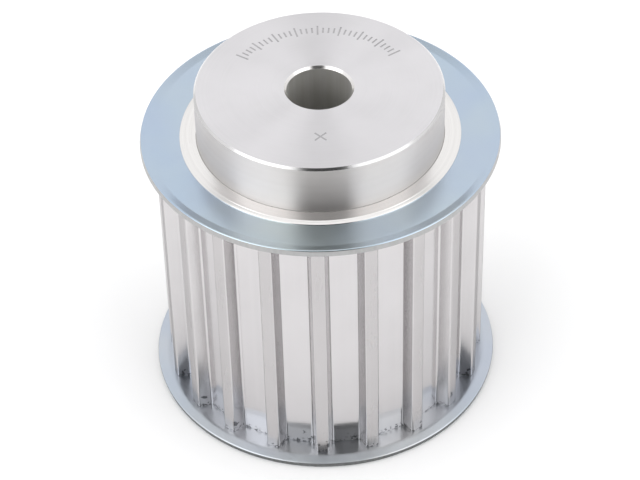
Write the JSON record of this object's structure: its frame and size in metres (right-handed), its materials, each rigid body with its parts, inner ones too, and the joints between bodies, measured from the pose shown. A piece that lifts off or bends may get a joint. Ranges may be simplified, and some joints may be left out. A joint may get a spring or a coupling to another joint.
{
  "type": "timing belt pulley",
  "caption": "Toothed aluminium pulley for a timing belt, with a hub on one side, a plain pilot bore and a pressed steel flange at each end of the teeth.",
  "frame": {"origin": "centre of the bore in the plane of the rear face, which the rim of the rear flange also touches", "axes": "+Z along the bore towards the hub; one tooth gap is centred on +X"},
  "size_m": [0.067, 0.067, 0.066],
  "materials": {
    "aluminium": "bright aluminium, turned on the hub and hobbed on the teeth, uncoated",
    "zinc_steel": "pressed sheet steel, blue-white zinc plating, semi-bright"
  },
  "bodies": {
    "root": {"toothed_body": "aluminium", "hub_side_flange": "zinc_steel", "rear_flange": "zinc_steel"}
  },
  "joints": []
}
